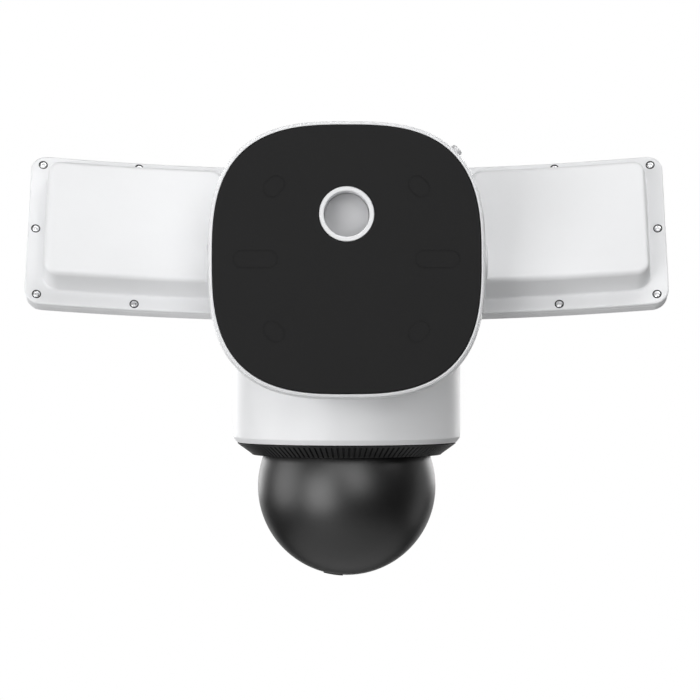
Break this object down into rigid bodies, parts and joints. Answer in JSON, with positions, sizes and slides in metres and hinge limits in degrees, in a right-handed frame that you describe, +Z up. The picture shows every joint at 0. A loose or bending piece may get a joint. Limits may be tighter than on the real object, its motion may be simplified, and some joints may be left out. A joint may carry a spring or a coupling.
{
  "type": "floodlight security camera",
  "caption": "Wall-mounted floodlight camera with a squircle base, tilting curved light heads and a pan-and-tilt ball camera under a drum.",
  "frame": {"origin": "centre of the gasket's wall face", "axes": "+Z up, +Y into the wall, +X to the right for someone facing the front"},
  "size_m": [0.3238, 0.149, 0.2301],
  "materials": {
    "white_plastic": "satin moulded, UV-stable white",
    "gasket_rubber": "matte foam rubber",
    "seal_rubber": "matte",
    "black_plastic": "satin moulded black",
    "plate_plastic": "matte moulded black",
    "grey_plastic": "matte grey",
    "steel": "zinc plated",
    "brass": "machined",
    "gear_plastic": "natural acetal",
    "circuit_board": "solder mask over glass fibre",
    "led_board": "white solder mask on aluminium",
    "diffuser": "frosted polycarbonate",
    "sensor_lens": "milky polyethylene",
    "face_glass": "polished black acrylic",
    "lens_glass": "coated lens"
  },
  "bodies": {
    "wall_unit": {"wall_gasket": "gasket_rubber", "mounting_plate": "plate_plastic", "mount_base": "white_plastic", "lock_screw": "white_plastic", "cable_bushing": "white_plastic", "cable_seal": "grey_plastic", "terminal_block": "grey_plastic", "rear_housing": "white_plastic", "front_cover": "white_plastic", "status_light": "diffuser", "motion_sensor_lens": "sensor_lens", "main_board": "circuit_board", "power_supply": "circuit_board", "drum_housing": "white_plastic", "collar_grille": "black_plastic", "speaker": "plate_plastic", "pan_motor": "steel", "right_hinge_arm": "white_plastic", "right_hinge_pin": "steel", "left_hinge_arm": "white_plastic", "left_hinge_pin": "steel"},
    "sync_button": {"sync_button": "grey_plastic"},
    "pan_pinion": {"pan_pinion": "brass"},
    "pan_carriage": {"pan_turntable": "gear_plastic", "turntable_clip": "steel", "camera_yoke": "black_plastic", "tilt_shaft": "steel", "tilt_motor": "steel"},
    "tilt_pinion": {"tilt_pinion": "brass"},
    "camera_ball": {"tilt_gear": "gear_plastic", "camera_rear_shell": "black_plastic", "camera_front_shell": "black_plastic", "camera_face_plate": "face_glass", "camera_board": "circuit_board", "card_cover": "seal_rubber", "upper_lens_barrel": "black_plastic", "lower_lens_barrel": "black_plastic", "upper_lens_glass": "lens_glass", "lower_lens_glass": "lens_glass"},
    "right_light": {"right_light_housing": "white_plastic", "right_light_seal": "seal_rubber", "right_led_board": "led_board", "right_light_frame": "white_plastic", "right_light_diffuser": "diffuser", "right_light_screw_top_corner": "steel", "right_light_screw_side": "steel", "right_light_screw_bottom_corner": "steel", "right_light_screw_bottom": "steel", "right_light_screw_top": "steel"},
    "left_light": {"left_light_housing": "white_plastic", "left_light_seal": "seal_rubber", "left_led_board": "led_board", "left_light_frame": "white_plastic", "left_light_diffuser": "diffuser", "left_light_screw_top_corner": "steel", "left_light_screw_side": "steel", "left_light_screw_bottom_corner": "steel", "left_light_screw_bottom": "steel", "left_light_screw_top": "steel"}
  },
  "joints": [
    {"name": "right_light_tilt", "type": "hinge", "parent": "wall_unit", "child": "right_light", "pos_m": [0.0646, -0.04, 0], "axis": [1, 0, 0], "range_deg": [-25, 35]},
    {"name": "left_light_tilt", "type": "hinge", "parent": "wall_unit", "child": "left_light", "pos_m": [-0.0646, -0.04, 0], "axis": [1, 0, 0], "range_deg": [-25, 35]},
    {"name": "camera_pan", "type": "hinge", "parent": "wall_unit", "child": "pan_carriage", "pos_m": [0, -0.09, -0.052], "axis": [0, 0, 1], "range_deg": [-175, 175]},
    {"name": "pan_pinion_spin", "type": "hinge", "parent": "wall_unit", "child": "pan_pinion", "pos_m": [0.03111, -0.05889, -0.0519], "axis": [0, 0, 1], "range_deg": [-790, 790]},
    {"name": "camera_tilt", "type": "hinge", "parent": "pan_carriage", "child": "camera_ball", "pos_m": [0, -0.09, -0.1149], "axis": [1, 0, 0], "range_deg": [-25, 35]},
    {"name": "tilt_pinion_spin", "type": "hinge", "parent": "pan_carriage", "child": "tilt_pinion", "pos_m": [0.0225, -0.07586, -0.12904], "axis": [1, 0, 0], "range_deg": [-106, 76]},
    {"name": "sync_button_press", "type": "slide", "parent": "wall_unit", "child": "sync_button", "axis": [0, 1, 0], "range_m": [0, 0.0012], "stiffness_N_per_m": 300, "springref_m": -0.0005}
  ],
  "couplings": [
    {"joint": "pan_pinion_spin", "follows": "camera_pan", "ratio": -4.5},
    {"joint": "tilt_pinion_spin", "follows": "camera_tilt", "ratio": -3}
  ]
}
